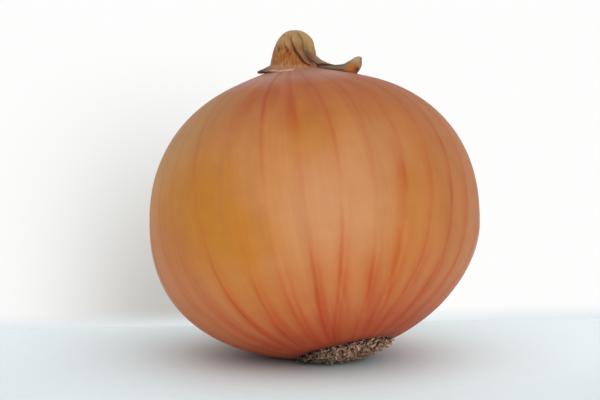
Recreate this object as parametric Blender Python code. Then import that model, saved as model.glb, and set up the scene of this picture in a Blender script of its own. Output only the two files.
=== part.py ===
"""A large yellow onion resting on its root end: bulb with raised veins, dry folded neck, root plate.

Each surface is found from the bulb's centre: a direction, and how far the skin lies that way. Rings run
round an axis that leans a little to the left. The table is the plane z = 0, and the front looks to -Y.
"""

import math
import random

import bmesh
import bpy
from mathutils import Euler, Matrix, Vector

# Bulb: a squat globe, fuller at the lower left and flatter at the lower front
BULB_RADIUS = 0.0471
NECK_SIDE_HEIGHT = 0.0430
ROOT_SIDE_HEIGHT = 0.0394
NECK_SIDE_ROUNDNESS = 2.23
NECK_SIDE_LEFT = -0.07
ROOT_SIDE_ROUNDNESS = 2.09
ROOT_SIDE_LEFT = 0.23
ROOT_SIDE_FRONT = -0.30
NECK_RISE = 0.0017
NECK_RISE_WIDTH = math.radians(13)
RESTING_DENT = 0.0003
CENTRE = Vector((0, 0, ROOT_SIDE_HEIGHT - RESTING_DENT))
GAP = 0.0003

# Axis from the root pole to the neck pole: its lean to the left and to the back at each end
NECK_LEAN = math.radians(8.0)
ROOT_LEAN = math.radians(13.0)
NECK_TIP = math.radians(3.5)
ROOT_TIP = math.radians(16.0)

# Veins that run from neck to root
VEIN_COUNT = 36
COLUMNS_PER_VEIN = 4
VEIN_HEIGHT = 0.00030
MAIN_RINGS = 18

# Hollow at the root for the root plate, and socket at the neck, as angles seen from the centre
BASIN_ANGLE = math.radians(20.2)
BASIN_DEPTH = 0.0022
BASIN_STEPS = (0.0, 0.42, 0.70, 0.86, 0.94, 0.985)
BASIN_STEEPNESS = 8
BASIN_CLEARANCE = 0.978
SOCKET_ANGLE = math.radians(8.4)
SOCKET_DEPTH = 0.0025
SOCKET_MIDDLE_DEPTH = 0.0040

# Root plate with its clipped root stubs
DOME_RISE = 0.0008
DOME_RIM = 0.0006
DOME_RINGS = 6
PLATE_SIDES = 48
STUB_COUNT = 92
STUB_SPREAD = 0.94
STUB_RADIUS = 0.00055
STUB_LENGTH = (0.0018, 0.0026)
STUB_SUNK = 0.0012
STUB_LEAN = (math.radians(10), math.radians(58))
STUB_UNEVEN_LEAN = math.radians(10)
STUB_SIDEWAYS = 0.35
STUB_TIP = (0.45, 0.80)
STUB_SIDES = 5
STUB_SEED = 7
GOLDEN_ANGLE = math.pi * (3 - math.sqrt(5))

# Neck: a dry collar lies on the bulb round a stem that is folded over itself
NECK_SIDES = 48
PLUG_ANGLE = math.radians(8.0)
COLLAR_LEFT = math.radians(12.6)
COLLAR_RIGHT = math.radians(9.6)
COLLAR_RAGGED = math.radians(0.4)
COLLAR_THICKNESS = 0.0006
COLLAR_SHOULDER = 0.6
STEP_COUNT = 3
# Millimetres: height over the neck pole, centre across, half width, half depth
STEM_ROWS = (
    (0.8, 0.3, 6.6, 5.2),
    (2.0, 0.3, 6.35, 4.9),
    (3.8, 0.35, 6.05, 4.6),
    (5.6, 0.4, 5.45, 4.4),
    (7.2, 0.5, 4.85, 4.2),
    (8.5, 0.55, 4.0, 3.8),
    (9.5, 0.6, 3.0, 3.0),
    (10.1, 0.6, 1.8, 1.8),
    (10.3, 0.6, 0.5, 0.6),
)
# Two creases where the folded stem lies against itself, as millimetres up and across
CREASES = (
    ((0.4, 5.0), (0.8, 3.2), (1.6, 2.4), (2.9, 1.5), (4.6, 0.1), (6.6, -0.5), (8.4, -1.0)),
    ((1.0, 5.2), (4.1, 3.5), (5.8, 3.2), (7.5, 2.7), (10.2, 1.1)),
)
CREASE_WIDTH = 1.0
CREASE_DEPTH = 0.25

# Tail: the leaf's dry end, trailing to the right over the shoulder and turned up at its tip
TAIL_SIDES = 16
TAIL_FRONT = 0.8
# Millimetres: across and up from the neck pole, half height, half depth
TAIL_ROWS = (
    (3.4, 4.2, 2.4, 2.8),
    (5.2, 2.6, 2.3, 3.0),
    (7.0, 1.2, 1.6, 2.8),
    (9.3, 0.1, 1.2, 2.6),
    (11.8, -0.6, 1.1, 2.5),
    (13.6, -0.75, 1.3, 2.5),
    (14.7, -0.7, 1.5, 2.6),
    (15.85, -0.5, 1.9, 2.7),
    (17.0, -0.2, 2.3, 2.7),
    (18.1, 0.2, 2.5, 2.5),
    (19.1, 0.9, 1.9, 1.9),
    (19.7, 1.3, 1.1, 1.0),
)

MM = 0.001
SKIN_COLOUR = (0.50, 0.20, 0.06)
NECK_COLOUR = (0.36, 0.22, 0.10)
ROOT_COLOUR = (0.24, 0.17, 0.12)


def direction(polar, angle):
    """Unit vector from the centre, at an angle from the root pole and turned round the leaning axis."""
    share = (1 + math.cos(polar)) / 2
    lean = NECK_LEAN + (ROOT_LEAN - NECK_LEAN) * share
    tip = NECK_TIP + (ROOT_TIP - NECK_TIP) * share
    found = Vector((math.sin(polar) * math.cos(angle), math.sin(polar) * math.sin(angle), -math.cos(polar)))
    found.rotate(Euler((-tip, -lean, 0)))
    return found


NECK_POLE = direction(math.pi, 0.0)


def reach(towards):
    """How far the skin lies from the centre in this direction, without veins."""
    flat = max(math.hypot(towards.x, towards.y), 1e-9)
    left, front = -towards.x / flat, -towards.y / flat
    if towards.z > 0:
        height, roundness = NECK_SIDE_HEIGHT, NECK_SIDE_ROUNDNESS + NECK_SIDE_LEFT * left
    else:
        height = ROOT_SIDE_HEIGHT
        roundness = ROOT_SIDE_ROUNDNESS + ROOT_SIDE_LEFT * left + ROOT_SIDE_FRONT * front
    globe = (flat / BULB_RADIUS) ** roundness + (abs(towards.z) / height) ** roundness
    off_neck = towards.angle(NECK_POLE) / NECK_RISE_WIDTH
    return globe ** (-1 / roundness) + NECK_RISE * math.exp(-off_neck * off_neck)


def skin(polar, angle, lift=0.0):
    """Point on the skin, or over it by the given lift."""
    towards = direction(polar, angle)
    return CENTRE + towards * (reach(towards) + lift)


def basin_lift(share):
    return -BASIN_DEPTH * (1 - min(share, 1.0) ** BASIN_STEEPNESS)


def dome_lift(share):
    return DOME_RIM + DOME_RISE * (1 - share * share)


def bulb_rings():
    """Rings of the bulb as (polar angle, lift, share of the vein relief), root pole first."""
    rings = [(BASIN_ANGLE * share, basin_lift(share), 0.0) for share in BASIN_STEPS]
    rings.append((BASIN_ANGLE, 0.0, 0.0))
    span = math.pi - SOCKET_ANGLE - BASIN_ANGLE
    for i in range(1, MAIN_RINGS + 1):
        relief = math.sin(math.pi * i / MAIN_RINGS) ** 0.5
        rings.append((BASIN_ANGLE + span * i / MAIN_RINGS, 0.0, relief))
    rings.append((math.pi - SOCKET_ANGLE, -SOCKET_DEPTH, 0.0))
    rings.append((math.pi, -SOCKET_MIDDLE_DEPTH, 0.0))
    return rings


def plate_rings():
    """Rings of the root plate: over the dome outside, then back along the hollow in the bulb."""
    edge = BASIN_ANGLE * BASIN_CLEARANCE
    rings = []
    for i in range(DOME_RINGS):
        share = math.sin(math.pi / 2 * i / DOME_RINGS)
        rings.append((edge * share, dome_lift(share), 0.0))
    for share in reversed(BASIN_STEPS):
        rings.append((edge * share, basin_lift(share) + GAP, 0.0))
    return rings


def material(name, colour, roughness):
    made = bpy.data.materials.new(name)
    made.use_nodes = True
    shader = made.node_tree.nodes["Principled BSDF"]
    shader.inputs["Base Color"].default_value = (*colour, 1.0)
    shader.inputs["Roughness"].default_value = roughness
    shader.inputs["Metallic"].default_value = 0.0
    return made


def add_object(name, mesh, collection, finish=None):
    made = bpy.data.objects.new(name, mesh)
    collection.objects.link(made)
    if finish:
        mesh.materials.append(finish)
    return made


def to_mesh(bm, name):
    bmesh.ops.recalc_face_normals(bm, faces=bm.faces[:])
    mesh = bpy.data.meshes.new(name)
    bm.to_mesh(mesh)
    bm.free()
    mesh.shade_smooth()
    mesh.set_sharp_from_angle(angle=math.radians(50))
    return mesh


def vein_relief(angle):
    """Height of the skin at this angle: a low ridge along each vein and a flat strip between."""
    phase = abs(math.sin(angle * VEIN_COUNT / 2))
    return VEIN_HEIGHT * (1 - phase) ** 1.5


def ringed_body(columns, rings):
    """A UV sphere whose rings are moved to the given (polar angle, lift, vein relief) rings."""
    bm = bmesh.new()
    last = len(rings) - 1
    bmesh.ops.create_uvsphere(bm, u_segments=columns, v_segments=last, radius=1.0)
    for vertex in bm.verts:
        row = round(math.acos(max(-1.0, min(1.0, -vertex.co.z))) / math.pi * last)
        angle = math.atan2(vertex.co.y, vertex.co.x)
        polar, lift, relief = rings[row]
        vertex.co = skin(polar, angle, lift + relief * vein_relief(angle))
    return bm


def cut_level(bm):
    """Cuts away what lies under the table and closes the cut with one flat face."""
    geometry = bm.verts[:] + bm.edges[:] + bm.faces[:]
    up = Vector((0, 0, 1))
    bmesh.ops.bisect_plane(bm, geom=geometry, dist=1e-7, plane_co=Vector(), plane_no=up, clear_inner=True)
    open_edges = [edge for edge in bm.edges if edge.is_boundary]
    bmesh.ops.edgeloop_fill(bm, edges=open_edges)


def union(body, tools, collection):
    """The body with the tool objects joined to it as one closed solid; the tools are removed."""
    group = bpy.data.collections.new("to join")
    collection.children.link(group)
    for tool in tools:
        group.objects.link(tool)
    join = body.modifiers.new("Join", "BOOLEAN")
    join.operation = "UNION"
    join.operand_type = "COLLECTION"
    join.collection = group
    join.solver = "EXACT"
    evaluated = body.evaluated_get(bpy.context.evaluated_depsgraph_get())
    joined = bmesh.new()
    joined.from_mesh(evaluated.to_mesh())
    body.modifiers.clear()
    for tool in tools:
        bpy.data.objects.remove(tool)
    bpy.data.collections.remove(group)
    return joined


def make_bulb(collection):
    bm = ringed_body(VEIN_COUNT * COLUMNS_PER_VEIN, bulb_rings())
    cut_level(bm)
    return add_object("bulb", to_mesh(bm, "bulb"), collection, material("skin", SKIN_COLOUR, 0.5))


def make_stub(index, rng, collection):
    """One clipped root: a short cone sunk in the dome, leaning outwards more towards the rim."""
    share = math.sqrt((index + 0.5) / STUB_COUNT) * STUB_SPREAD
    angle = GOLDEN_ANGLE * index
    foot = skin(BASIN_ANGLE * share, angle, dome_lift(share))
    down = direction(BASIN_ANGLE * share, angle)
    outward = direction(BASIN_ANGLE * share + math.pi / 2, angle)
    sideways = down.cross(outward) * rng.uniform(-STUB_SIDEWAYS, STUB_SIDEWAYS)
    uneven = rng.uniform(-STUB_UNEVEN_LEAN, STUB_UNEVEN_LEAN)
    lean = STUB_LEAN[0] + (STUB_LEAN[1] - STUB_LEAN[0]) * share + uneven
    along = (outward * math.sin(lean) + down * math.cos(lean) + sideways).normalized()
    length = rng.uniform(*STUB_LENGTH)
    bm = bmesh.new()
    bmesh.ops.create_cone(
        bm,
        cap_ends=True,
        segments=STUB_SIDES,
        radius1=STUB_RADIUS,
        radius2=STUB_RADIUS * rng.uniform(*STUB_TIP),
        depth=length,
    )
    middle = foot + along * (length / 2 - STUB_SUNK)
    turn = along.to_track_quat("Z", "Y").to_matrix().to_4x4()
    bmesh.ops.transform(bm, matrix=Matrix.Translation(middle) @ turn, verts=bm.verts[:])
    return add_object(f"stub_{index}", to_mesh(bm, f"stub_{index}"), collection)


def make_root_plate(collection):
    plate = add_object("root_plate", to_mesh(ringed_body(PLATE_SIDES, plate_rings()), "dome"), collection)
    rng = random.Random(STUB_SEED)
    stubs = [make_stub(index, rng, collection) for index in range(STUB_COUNT)]
    joined = union(plate, stubs, collection)
    cut_level(joined)
    plate.data = to_mesh(joined, "root_plate")
    plate.data.materials.append(material("root_plate", ROOT_COLOUR, 0.9))
    return plate


def smooth_rows(rows, steps):
    """Catmull-Rom rows through the given ones."""
    ends = [rows[0], *rows, rows[-1]]
    found = []
    for i in range(len(rows) - 1):
        a, b, c, d = (Vector(row) for row in ends[i : i + 4])
        for k in range(steps):
            t = k / steps
            row = b + (c - a) * (t / 2) + (2 * a - 5 * b + 4 * c - d) * (t * t / 2)
            found.append(row + (3 * b - a - 3 * c + d) * (t**3 / 2))
    found.append(Vector(rows[-1]))
    return found


def crease_depth(crease, across, up):
    """Share of the stem's depth that one crease takes at a place on it, fading out at the crease's ends."""
    share = (up - crease[0][0]) / (crease[-1][0] - crease[0][0])
    for (low, start), (high, end) in zip(crease, crease[1:]):
        if low <= up <= high:
            middle = start + (end - start) * (up - low) / (high - low)
            off = (across - middle) / CREASE_WIDTH
            return CREASE_DEPTH * math.sin(math.pi * share) ** 0.5 * math.exp(-off * off)
    return 0.0


def pinch(across, up):
    """Share of the stem's depth left at a place on it."""
    return 1 - sum(crease_depth(crease, across, up) for crease in CREASES)


def clear_of_bulb(point):
    """Lifts a point off the bulb, so that it lies on the skin and not in it."""
    towards = (point - CENTRE).normalized()
    nearest = reach(towards) + GAP + VEIN_HEIGHT / 2
    return CENTRE + towards * max((point - CENTRE).length, nearest)


def collar_ring(angle_at, lift):
    """A ring round the neck pole, lifted off the skin, starting at the right and running by the front."""
    ring = []
    for k in range(NECK_SIDES):
        angle = -math.tau * k / NECK_SIDES
        ring.append(skin(math.pi - angle_at(angle), angle, lift))
    return ring


def collar_edge(angle):
    """The torn collar is widest at the left and short where the tail leaves."""
    wide = 0.5 - 0.5 * math.cos(angle)
    ragged = COLLAR_RAGGED * (math.sin(5 * angle) + math.sin(11 * angle + 1))
    return COLLAR_RIGHT + (COLLAR_LEFT - COLLAR_RIGHT) * wide**2 + ragged * wide


def collar_shoulder(angle):
    return COLLAR_SHOULDER * collar_edge(angle) + (1 - COLLAR_SHOULDER) * PLUG_ANGLE


def stem_ring(row):
    up, across, half_width, half_depth = row
    ring = []
    for k in range(NECK_SIDES):
        angle = math.tau * k / NECK_SIDES
        x = across + half_width * math.cos(angle)
        y = -half_depth * math.sin(angle) * pinch(x, up)
        ring.append(skin(math.pi, 0.0) + Vector((x, y, up)) * MM)
    return ring


def stem_rings():
    """Rings in order: plug in the socket, collar on the skin, then the folded stem."""
    rings = [
        collar_ring(lambda _: PLUG_ANGLE, GAP - SOCKET_DEPTH),
        collar_ring(lambda _: PLUG_ANGLE, GAP),
        collar_ring(collar_edge, GAP),
        collar_ring(collar_edge, GAP + COLLAR_THICKNESS),
        collar_ring(collar_shoulder, GAP + 2 * COLLAR_THICKNESS),
    ]
    return rings + [stem_ring(row) for row in smooth_rows(STEM_ROWS, STEP_COUNT)]


def tail_ring(row):
    across, up, half_height, half_depth = row
    ring = []
    for k in range(TAIL_SIDES):
        angle = math.tau * k / TAIL_SIDES
        offset = Vector((across, half_depth * math.cos(angle) - TAIL_FRONT, up + half_height * math.sin(angle)))
        ring.append(clear_of_bulb(skin(math.pi, 0.0) + offset * MM))
    return ring


def loft(rings):
    """Closed body through rings with the same number of points each."""
    bm = bmesh.new()
    loops = [[bm.verts.new(point) for point in ring] for ring in rings]
    for lower, upper in zip(loops, loops[1:]):
        for k in range(len(lower)):
            following = (k + 1) % len(lower)
            bm.faces.new((lower[k], lower[following], upper[following], upper[k]))
    for end in (loops[0], loops[-1]):
        bm.faces.new(end)
    return bm


def make_neck(collection):
    neck = add_object("neck", to_mesh(loft(stem_rings()), "stem"), collection)
    tail_rings = [tail_ring(row) for row in smooth_rows(TAIL_ROWS, STEP_COUNT - 1)]
    tail = add_object("tail", to_mesh(loft(tail_rings), "tail"), collection)
    neck.data = to_mesh(union(neck, [tail], collection), "neck")
    neck.data.materials.append(material("neck", NECK_COLOUR, 0.75))
    return neck


def main():
    for old in list(bpy.data.objects):
        bpy.data.objects.remove(old)
    onion = bpy.data.collections.new("onion")
    bpy.context.scene.collection.children.link(onion)
    make_bulb(onion)
    make_root_plate(onion)
    make_neck(onion)


main()
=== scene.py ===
"""Dresses the onion: papery skin with veins, a dry neck folded over itself, matted roots, and a pale stage.

Lengths are metres and angles radians, unless a name or a comment says otherwise. The front looks to -Y, and
the table is the plane z = 0. Polar angles run from the root pole to the neck pole.
"""

import math
import random
from types import SimpleNamespace

import bmesh
import bpy
from bpy.props import FloatProperty, FloatVectorProperty, IntProperty, PointerProperty
from bpy.types import Operator, Panel, PropertyGroup
from mathutils import Euler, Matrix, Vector, noise
from mathutils.bvhtree import BVHTree


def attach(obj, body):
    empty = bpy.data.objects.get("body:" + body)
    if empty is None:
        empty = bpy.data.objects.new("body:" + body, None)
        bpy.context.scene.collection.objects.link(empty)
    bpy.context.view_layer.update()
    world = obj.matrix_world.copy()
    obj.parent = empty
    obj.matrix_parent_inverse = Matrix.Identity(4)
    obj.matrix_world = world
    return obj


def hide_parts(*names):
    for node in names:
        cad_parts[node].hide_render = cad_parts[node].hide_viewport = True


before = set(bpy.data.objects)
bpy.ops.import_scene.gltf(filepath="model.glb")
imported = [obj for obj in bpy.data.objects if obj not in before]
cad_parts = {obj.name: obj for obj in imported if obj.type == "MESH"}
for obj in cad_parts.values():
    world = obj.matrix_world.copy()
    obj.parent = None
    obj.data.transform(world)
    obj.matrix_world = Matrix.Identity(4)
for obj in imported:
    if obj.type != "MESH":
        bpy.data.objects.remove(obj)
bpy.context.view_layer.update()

bl_info = {
    "name": "Dressed onion",
    "version": (1, 0, 0),
    "blender": (4, 5, 0),
    "location": "View3D > Sidebar > Onion",
    "description": "Makes an onion's skin, neck and roots round its solids, and a stage for it",
    "category": "Object",
}

MM = 0.001
BODY = "root"


# Properties


def length(name, default, description):
    return FloatProperty(
        name=name, description=description, default=default, min=0, precision=5, unit="LENGTH"
    )


def angle(name, degrees, description):
    return FloatProperty(
        name=name, description=description, default=math.radians(degrees), subtype="ANGLE"
    )


def number(name, default, description):
    return FloatProperty(name=name, description=description, default=default, precision=3)


def count(name, default, description):
    return IntProperty(name=name, description=description, default=default, min=0)


def colour(name, default, description):
    return FloatVectorProperty(
        name=name, description=description, default=default, min=0, max=1, subtype="COLOR"
    )


class OnionShape(PropertyGroup):
    """The rule of the bulb's surface, which the skin, the collar and the root bed all follow."""

    radius: length("Radius", 0.0471, "Half the bulb's width")
    centre_height: length("Centre height", 0.0391, "The bulb's centre over the table")
    neck_side_height: length("Neck side height", 0.0430, "From the centre up to the top")
    root_side_height: length("Root side height", 0.0394, "From the centre down to the bottom")
    neck_side_roundness: number("Neck side roundness", 2.23, "Power of the upper half's outline")
    neck_side_left: number("Neck side left", -0.07, "Added to that power at the left")
    root_side_roundness: number("Root side roundness", 2.09, "Power of the lower half's outline")
    root_side_left: number("Root side left", 0.23, "Added to that power at the left")
    root_side_front: number("Root side front", -0.30, "Added to that power at the front")
    neck_lean: angle("Neck lean", 8.0, "The neck pole's lean to the left")
    root_lean: angle("Root lean", 13.0, "The root pole's lean to the right")
    neck_tip: angle("Neck tip", 3.5, "The neck pole's tip to the back")
    root_tip: angle("Root tip", 16.0, "The root pole's tip to the front")
    neck_rise: length("Neck rise", 0.0017, "Height of the shoulder round the neck")
    neck_rise_width: angle("Neck rise width", 13.0, "Width of that shoulder")
    vein_height: length("Vein height", 0.00011, "How far a vein stands out")
    vein_width: length("Vein width", 0.0006, "Half the width of that ridge")
    waviness: length("Waviness", 0.0005, "Height of the skin's slow waves")


class OnionSkin(PropertyGroup):
    """The skin's colours and veins."""

    far_veins: count("Far veins", 19, "Veins on the sides and the back, between the drawn ones")
    seed: count("Seed", 5, "Draws the veins of the sides and the back")
    line_width: length("Line width", 0.00064, "Half the width of a vein's own line")
    glow_width: length("Glow width", 0.0025, "Half the width of the red round a vein")
    pale: colour("Pale", (0.72, 0.290, 0.086), "The lightest skin")
    amber: colour("Amber", (0.65, 0.232, 0.020), "Yellow zones")
    rosy: colour("Rosy", (0.74, 0.325, 0.138), "Pinker zone right of the middle")
    sienna: colour("Sienna", (0.62, 0.188, 0.038), "Redder zone at the right")
    dusky: colour("Dusky", (0.54, 0.205, 0.078), "Mauve bands")
    ochre: colour("Ochre", (0.61, 0.315, 0.088), "Paler zone at the upper left")
    crown: colour("Crown", (0.54, 0.124, 0.012), "The upper skin")
    blush: colour("Blush", (0.62, 0.305, 0.225), "Close round the neck")
    ruddy: colour("Ruddy", (0.61, 0.148, 0.048), "Towards the root")
    deep: colour("Deep", (0.49, 0.078, 0.012), "Close to the root")
    glow: colour("Glow", (0.96, 0.68, 0.60), "What the red round a vein leaves of the colour")
    line: colour("Line", (0.93, 0.61, 0.54), "What a vein's own line leaves of the colour")
    # The skin's own dark rim round the roots, darkened further by painted shade where it meets the bed
    lip_and_shade: colour("Lip", (0.16, 0.030, 0.018), "The rim round the roots")


class OnionNeck(PropertyGroup):
    """The folded stem, its collar and its tail."""

    fibre_height: length("Fibre height", 0.00005, "How far the stem's fibres stand out")
    lump_height: length("Lump height", 0.00030, "Height of the stem's slow lumps")
    tan: colour("Tan", (0.42, 0.176, 0.058), "Dry leaf")
    # straw: the leaf's pale fibres, and also a painted highlight on the stem's top
    straw_and_highlight: colour("Straw", (0.66, 0.42, 0.185), "Its pale fibres")
    rust: colour("Rust", (0.46, 0.140, 0.020), "The warm patch on the stem")
    olive: colour("Olive", (0.58, 0.320, 0.098), "The right fold")
    grey: colour("Grey", (0.275, 0.210, 0.130), "The tail")
    dry: colour("Dry", (0.66, 0.53, 0.27), "The tail's pale tip")
    plum: colour("Plum", (0.15, 0.058, 0.066), "The bruise in the valley")
    ash: colour("Ash", (0.35, 0.245, 0.170), "The stem's weathered sides")
    foot: colour("Foot", (0.62, 0.275, 0.145), "The stem's foot and the collar")
    bark: colour("Bark", (0.20, 0.095, 0.040), "Brown streaks")
    # dark: painted shade in the creases, the valley and the pits; it also colours the tail's dark end and a
    # dark spot in its tip
    dark: colour("Dark", (0.050, 0.022, 0.016), "Creases and pits")
    cream: colour("Cream", (0.80, 0.55, 0.37), "The collar's edge")
    ember: colour("Ember", (0.88, 0.260, 0.030), "The glow in the tail's tip")
    scorch: colour("Scorch", (0.42, 0.048, 0.014), "Under that glow")
    # tip: painted shadow under the collar's lifted tip at the left
    tip: colour("Tip", (0.13, 0.034, 0.020), "The collar's dark tip")


class OnionRoots(PropertyGroup):
    """The root bed and the clipped roots on it."""

    spacing: length("Spacing", 0.00044, "Least distance between two roots")
    length: length("Length", 0.0014, "Length of a root")
    thickness: length("Thickness", 0.00017, "Half a root's thickness at its foot")
    rise: number("Rise", 0.16, "How far the roots stand up from the bed")
    lean: number("Lean", 0.06, "How far the outer roots lean outwards")
    tangle: number("Tangle", 1.0, "How far a root's direction strays")
    matted: number("Matted", 0.7, "How far the stray roots lie down on the bed, from 0 to 1")
    curl: length("Curl", 0.0013, "How far the roots' ends curl")
    seed: count("Seed", 11, "Draws the roots")
    husk: colour("Husk", (0.50, 0.285, 0.185), "A root")
    bleached: colour("Bleached", (0.88, 0.60, 0.44), "A bleached root")
    # soil: painted shade between and under the roots, and on their left side
    root_shade: colour("Soil", (0.022, 0.014, 0.011), "Between the roots")


class OnionStage(PropertyGroup):
    """Table, wall, lights and camera."""

    focal: number("Focal length", 100.0, "The lens in millimetres")
    distance: length("Distance", 0.4778, "From the camera to the bulb's centre")
    elevation: angle("Elevation", 4.5, "The camera's look down")
    key_power: number("Key light", 1.48, "Watts of the soft light in front")
    table_power: number("Table light", 3.48, "Strength of the wide light over the table")
    sky: number("Sky", 0.26, "Strength of the light from the sides")
    overhead: number("Overhead", 0.54, "Strength of the light from above")
    wall_distance: length("Wall distance", 0.0632, "From the bulb's middle to the wall")
    wall_turn: angle("Wall turn", 7.0, "How far the wall turns forward at the left")
    table: colour("Table", (0.60, 0.67, 0.69), "The table")
    # table_near_shade: painted shade, the table darker towards the camera
    table_near_shade: colour("Table near", (0.53, 0.60, 0.62), "The table in front of the onion")
    wall: colour("Wall", (0.985, 0.985, 0.980), "The wall")
    wall_shade: colour("Wall shade", (0.54, 0.53, 0.50), "The onion's shadow on the wall")
    # wall_foot_shade: painted shade on the wall where it meets the table
    wall_foot_shade: colour("Wall foot", (0.78, 0.83, 0.85), "The wall close to the table")


GROUPS = {
    "onion_shape": OnionShape,
    "onion_skin": OnionSkin,
    "onion_neck": OnionNeck,
    "onion_roots": OnionRoots,
    "onion_stage": OnionStage,
}


# Node trees


class Term:
    """A number or a vector in a node tree, so that a rule reads as plain arithmetic."""

    def __init__(self, tree, socket):
        self.tree = tree
        self.socket = socket

    def math(self, operation, *others):
        return add(self.tree, "ShaderNodeMath", self, *others, operation=operation)

    def vector(self, operation, *others, out=0):
        return add(self.tree, "ShaderNodeVectorMath", self, *others, operation=operation, out=out)

    def __add__(self, other):
        return self.math("ADD", other)

    def __sub__(self, other):
        return self.math("SUBTRACT", other)

    def __mul__(self, other):
        return self.math("MULTIPLY", other)

    def __truediv__(self, other):
        return self.math("DIVIDE", other)

    def __pow__(self, other):
        return self.math("POWER", other)

    def __neg__(self):
        return self.math("MULTIPLY", -1.0)

    def bell(self, width):
        """1 where the number is 0, falling to 0 past the width on both sides."""
        share = self / width
        return (-(share * share)).math("EXPONENT")

    def step(self, low, high):
        """0 below low, 1 over high and smooth between them."""
        return add(self.tree, "ShaderNodeMapRange", self, low, high, interpolation_type="SMOOTHSTEP")

    def parts(self):
        node = add(self.tree, "ShaderNodeSeparateXYZ", self).socket.node
        return [Term(self.tree, socket) for socket in node.outputs]


def feed(tree, sockets, values):
    """Links or sets node inputs in order; None leaves one as it is."""
    for socket, value in zip(sockets, values):
        if isinstance(value, Term):
            tree.links.new(value.socket, socket)
        elif value is not None:
            socket.default_value = value


def add(tree, kind, *values, out=0, **settings):
    """Adds a node, feeds its inputs in order and hands back one of its outputs."""
    node = tree.nodes.new(kind)
    for name, value in settings.items():
        setattr(node, name, value)
    feed(tree, node.inputs, values)
    return Term(tree, node.outputs[out])


def joined(tree, x, y, z):
    return add(tree, "ShaderNodeCombineXYZ", x, y, z)


def attribute(tree, name):
    """A number that the shader reads from the mesh."""
    return add(tree, "ShaderNodeAttribute", out=2, attribute_name=name)


def attribute_vector(tree, name):
    """A vector that the shader reads from the mesh."""
    return add(tree, "ShaderNodeAttribute", out=1, attribute_name=name)


def named(tree, name):
    """A number that geometry nodes read from the mesh."""
    return add(tree, "GeometryNodeInputNamedAttribute", name, data_type="FLOAT")


def grain(where, scale, detail=2.0, out=0):
    """Noise between about 0 and 1; its output 1 is a vector."""
    node = add(where.tree, "ShaderNodeTexNoise", where).socket.node
    feed(where.tree, [node.inputs["Scale"], node.inputs["Detail"]], (scale, detail))
    return Term(where.tree, node.outputs[out])


def mixed(tree, share, low, high, way="MIX"):
    """One colour going to another as the share goes from 0 to 1."""
    pair = [value if isinstance(value, Term) else (*value, 1.0) for value in (low, high)]
    gap = [None] * 5
    return add(tree, "ShaderNodeMix", share, *gap, *pair, out=2, data_type="RGBA", blend_type=way)


def painted(base, *layers):
    """A colour with others laid over it: (share, colour), or (share, colour, way of mixing)."""
    for share, colour, *way in layers:
        base = mixed(base.tree, share, base, colour, *way)
    return base


def grey(value):
    """The value as a grey; as an overlay it lightens over 0.5 and darkens below it."""
    return joined(value.tree, value, value, value)


def object_place(tree):
    """Where a point of the piece is, in metres."""
    return add(tree, "ShaderNodeTexCoord", out=3)


def lay_out(tree):
    """Spreads the nodes in rows, in the order in which they were made."""
    for i, node in enumerate(tree.nodes):
        node.location = (200 * (i % 12), -260 * (i // 12))


def finish_shader(name):
    """A new material, its tree and its shader node."""
    made = bpy.data.materials.new(name)
    made.use_nodes = True
    return made, made.node_tree, made.node_tree.nodes["Principled BSDF"]


def relief(tree, shader, height, distance, strength):
    """Bump from a height that goes from 0 to 1 over the given distance."""
    bump = add(tree, "ShaderNodeBump", strength, distance, None, height)
    tree.links.new(bump.socket, shader.inputs["Normal"])


def end_shader(tree, shader, base, rough, specular=None):
    """Gives the shader its colour, roughness and gloss, and lays the nodes out."""
    sockets = [shader.inputs[name] for name in ("Base Color", "Roughness", "Specular IOR Level")]
    feed(tree, sockets, (base, rough, specular))
    lay_out(tree)


def keep(tree, geometry, name, value, domain="POINT", kind="FLOAT"):
    """Stores a value on the geometry under a name."""
    settings = {"data_type": kind, "domain": domain}
    return add(tree, "GeometryNodeStoreNamedAttribute", geometry, None, name, value, **settings)


def size_names(sizes):
    """Key and label of each number in a property group."""
    return {
        key: prop.name
        for key, prop in sizes.bl_rna.properties.items()
        if prop.type in {"FLOAT", "INT"} and not prop.is_array
    }


def start_tree(name, sizes):
    """A geometry node tree with a geometry, a material and each size of a group as named inputs."""
    tree = bpy.data.node_groups.new(name, "GeometryNodeTree")
    kinds = {"Geometry": "Geometry", "Material": "Material"}
    for key, label in size_names(sizes).items():
        kinds[label] = "Int" if sizes.bl_rna.properties[key].type == "INT" else "Float"
    for label, kind in kinds.items():
        tree.interface.new_socket(label, in_out="INPUT", socket_type="NodeSocket" + kind)
    tree.interface.new_socket("Geometry", in_out="OUTPUT", socket_type="NodeSocketGeometry")
    entry = tree.nodes.new("NodeGroupInput")
    labels = {"geometry": "Geometry", "material": "Material", **size_names(sizes)}
    terms = {key: Term(tree, entry.outputs[label]) for key, label in labels.items()}
    return tree, SimpleNamespace(**terms)


def end_tree(tree, geometry, finish):
    """Makes everything real, gives it its material and hands it out."""
    real = add(tree, "GeometryNodeRealizeInstances", geometry)
    smooth = add(tree, "GeometryNodeSetShadeSmooth", real)
    dressed = add(tree, "GeometryNodeSetMaterial", smooth, None, finish)
    exit_node = tree.nodes.new("NodeGroupOutput")
    tree.links.new(dressed.socket, exit_node.inputs[0])
    lay_out(tree)
    return tree


def run_tree(piece, tree, sizes, finish):
    """Sets a tree's inputs on a piece, and keeps what it makes as the piece's plain mesh."""
    modifier = piece.modifiers.new(tree.name, "NODES")
    modifier.node_group = tree
    values = {label: getattr(sizes, key) for key, label in size_names(sizes).items()}
    values["Material"] = finish
    for item in tree.interface.items_tree:
        if item.in_out == "INPUT" and item.name in values:
            modifier[item.identifier] = values[item.name]
    depsgraph = bpy.context.evaluated_depsgraph_get()
    made = bpy.data.meshes.new_from_object(
        piece.evaluated_get(depsgraph), preserve_all_data_layers=True, depsgraph=depsgraph
    )
    piece.modifiers.clear()
    old = piece.data
    piece.data = made
    bpy.data.meshes.remove(old)
    made.name = piece.name


# Meshes


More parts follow.
